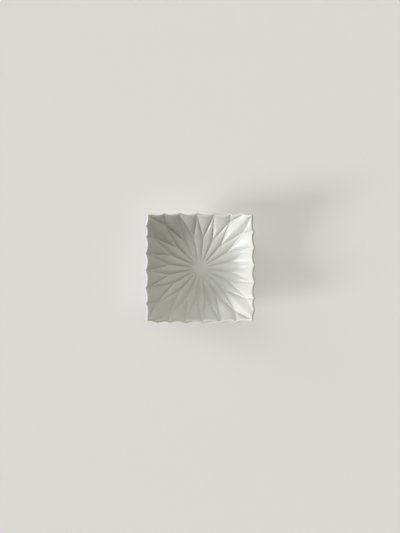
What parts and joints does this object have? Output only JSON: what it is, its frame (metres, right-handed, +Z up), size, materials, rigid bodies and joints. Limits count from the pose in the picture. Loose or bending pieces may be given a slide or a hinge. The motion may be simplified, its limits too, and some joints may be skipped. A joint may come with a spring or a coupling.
{
  "type": "small square dish",
  "caption": "Small square condiment dish of opaque white glass, a bowl with a turned relief of pillow-shaped petals, a thin wavy rim and raised corners.",
  "frame": {"origin": "middle of the foot, on the plane that the dish stands on", "axes": "+Z up, out of the open bowl; +X and +Y square to the rim's sides"},
  "size_m": [0.088, 0.088, 0.031],
  "materials": {
    "opal_glass": "satin"
  },
  "bodies": {
    "root": {"dish": "opal_glass"}
  },
  "joints": []
}
